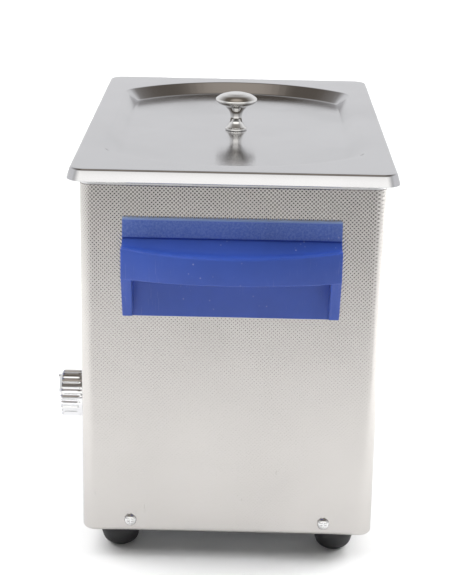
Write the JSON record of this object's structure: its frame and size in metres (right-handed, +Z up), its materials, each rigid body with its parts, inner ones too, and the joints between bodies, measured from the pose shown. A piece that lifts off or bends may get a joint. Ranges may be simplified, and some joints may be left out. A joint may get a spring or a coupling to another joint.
{
  "type": "ultrasonic cleaner",
  "caption": "Bench-top ultrasonic cleaner: box casing on rubber feet, drawn tank with a wire basket, lift-off recessed lid with a knob, end handles, and dials and a rocker switch.",
  "frame": {"origin": "on the table, in the plane of the feet's lower faces, under the centre of the casing", "axes": "+Z up; X along the long side of the casing; the control side faces -Y and the mains inlet is on the +Y side"},
  "size_m": [0.313, 0.1913, 0.2458],
  "materials": {
    "satin_steel": "linen-embossed satin stainless sheet",
    "lid_steel": "bright drawn stainless sheet",
    "tank_steel": "bright drawn stainless sheet",
    "blue_plastic": "moulded blue plastic, fine satin grain",
    "chrome": "polished chrome plate",
    "dial_silver": "silver plated plastic dial",
    "black_rubber": "moulded rubber",
    "white_silicone": "cured silicone",
    "zinc_steel": "zinc plated steel",
    "black_plastic": "moulded black plastic",
    "overlay_print": "printed plate",
    "rocker_red": "translucent red plastic",
    "lens_green": "green lamp lens",
    "lens_red": "red lamp lens",
    "brass": "plated brass",
    "aluminium": "machined aluminium",
    "ceramic": null,
    "dark_steel": "black oxide steel",
    "heater_orange": "silicone rubber heater mat",
    "board_green": "glass-epoxy circuit board",
    "ferrite": "ferrite core",
    "winding": "taped copper winding",
    "cable": "vinyl insulated wire",
    "basket_steel": "polished stainless wire",
    "white_plastic": "white moulded plastic"
  },
  "bodies": {
    "housing": {"base_pan": "zinc_steel", "board_screws": "zinc_steel", "board_standoffs": "brass", "casing_screws": "chrome", "casing_shell": "satin_steel", "control_overlay": "overlay_print", "dial_fixing_screws": "zinc_steel", "filter_capacitors": "cable", "foot_front_left": "black_rubber", "foot_front_right": "black_rubber", "foot_nuts": "zinc_steel", "foot_rear_left": "black_rubber", "foot_rear_right": "black_rubber", "foot_studs": "zinc_steel", "generator_board": "board_green", "handle_left": "blue_plastic", "handle_right": "blue_plastic", "handle_screws": "zinc_steel", "heat_sinks": "aluminium", "heater_pad_front": "heater_orange", "heater_pad_rear": "heater_orange", "heating_lamp_lens": "lens_red", "inlet_blades": "brass", "inlet_screws": "chrome", "lamp_bezels": "chrome", "mains_leads": "cable", "power_inlet": "black_plastic", "power_lamp_lens": "lens_green", "power_transistors": "black_plastic", "rim_seal": "white_silicone", "switch_housing": "black_plastic", "tank_basin": "tank_steel", "terminal_block": "white_plastic", "thermal_cutout": "aluminium", "thermostat_capillary": "brass", "thermostat_case": "white_plastic", "timer_case": "white_plastic", "transducer_leads": "cable", "transducer_left_back_mass": "zinc_steel", "transducer_left_clamp_bolt": "dark_steel", "transducer_left_electrodes": "brass", "transducer_left_front_mass": "aluminium", "transducer_left_piezo_rings": "ceramic", "transducer_right_back_mass": "zinc_steel", "transducer_right_clamp_bolt": "dark_steel", "transducer_right_electrodes": "brass", "transducer_right_front_mass": "aluminium", "transducer_right_piezo_rings": "ceramic", "transformer_core": "ferrite", "transformer_winding": "winding"},
    "lid": {"lid_pan": "lid_steel", "lid_knob": "chrome", "lid_knob_screw": "zinc_steel"},
    "basket": {"basket_tray": "basket_steel", "basket_bails": "basket_steel"},
    "timer_dial": {"timer_knob": "dial_silver", "timer_shaft": "zinc_steel"},
    "temperature_dial": {"temperature_knob": "dial_silver", "thermostat_shaft": "zinc_steel"},
    "rocker": {"power_rocker": "rocker_red"}
  },
  "joints": [
    {"name": "lid_lift", "type": "slide", "parent": "housing", "child": "lid", "axis": [0, 0, 1], "range_m": [0, 0.15]},
    {"name": "basket_lift", "type": "slide", "parent": "housing", "child": "basket", "axis": [0, 0, 1], "range_m": [0, 0.075]},
    {"name": "timer_turn", "type": "hinge", "parent": "housing", "child": "timer_dial", "pos_m": [0.075, -0.09, 0.0776], "axis": [0, 1, 0], "range_deg": [0, 300]},
    {"name": "temperature_turn", "type": "hinge", "parent": "housing", "child": "temperature_dial", "pos_m": [-0.075, -0.09, 0.0776], "axis": [0, 1, 0], "range_deg": [0, 270]},
    {"name": "rocker_tilt", "type": "hinge", "parent": "housing", "child": "rocker", "pos_m": [0, -0.0819, 0.0776], "axis": [1, 0, 0], "range_deg": [0, 16]}
  ],
  "couplings": [
    {"joint": "basket_lift", "follows": "lid_lift", "ratio": 0.5}
  ]
}
